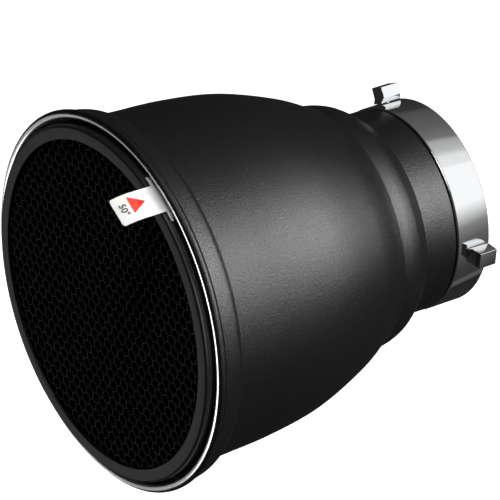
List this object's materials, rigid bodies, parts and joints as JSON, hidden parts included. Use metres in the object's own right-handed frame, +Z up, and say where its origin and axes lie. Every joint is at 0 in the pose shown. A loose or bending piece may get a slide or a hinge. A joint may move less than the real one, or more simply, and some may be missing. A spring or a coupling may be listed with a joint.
{
  "type": "honeycomb grid in a bayonet reflector",
  "caption": "Black spun lamp reflector with a chrome bayonet ring and lugs; a framed honeycomb grid is held in its mouth and pulls out by a white tab.",
  "frame": {"origin": "centre of the bayonet ring's rear face, where the lamp head's mount begins", "axes": "+Y along the reflector's axis towards the lamp, so the mouth and the grid face -Y; +Z up; +X to the right when looking along +Y"},
  "size_m": [0.1782, 0.2023, 0.1782],
  "materials": {
    "powder_coat": "fine-grained black powder coat outside, bright silver inside",
    "satin_black": "satin black paint",
    "black_foil": "black anodised foil",
    "chrome": "polished chrome plate",
    "zinc": "zinc plated",
    "spring_steel": "bright spring steel",
    "white_film": "white film with a printed red triangle and a number"
  },
  "bodies": {
    "reflector": {"reflector_shell": "powder_coat", "bayonet_ring": "chrome", "bayonet_lug_1": "chrome", "bayonet_lug_2": "chrome", "bayonet_lug_3": "chrome", "lug_screw_1": "zinc", "lug_screw_2": "zinc", "lug_screw_3": "zinc", "ring_screw_1": "zinc", "ring_screw_2": "zinc", "ring_screw_3": "zinc"},
    "grid": {"grid_front_frame": "satin_black", "honeycomb_core": "black_foil", "grid_rear_ring": "satin_black", "spring_clip_1": "spring_steel", "spring_clip_2": "spring_steel", "spring_clip_3": "spring_steel", "spring_rivet_1": "zinc", "spring_rivet_2": "zinc", "spring_rivet_3": "zinc", "spring_rivet_4": "zinc", "spring_rivet_5": "zinc", "spring_rivet_6": "zinc", "tab_foot": "white_film", "tab_rivet_1": "zinc", "tab_rivet_2": "zinc"},
    "tab": {"pull_tab": "white_film"}
  },
  "joints": [
    {"name": "grid_slide", "type": "slide", "parent": "reflector", "child": "grid", "axis": [0, -1, 0], "range_m": [0, 0.05]},
    {"name": "tab_flex", "type": "hinge", "parent": "grid", "child": "tab", "pos_m": [0.04263, -0.1834, 0.07238], "axis": [0.8616, 0, -0.5075], "range_deg": [-45, 65], "stiffness_Nm_per_rad": 0.002}
  ]
}
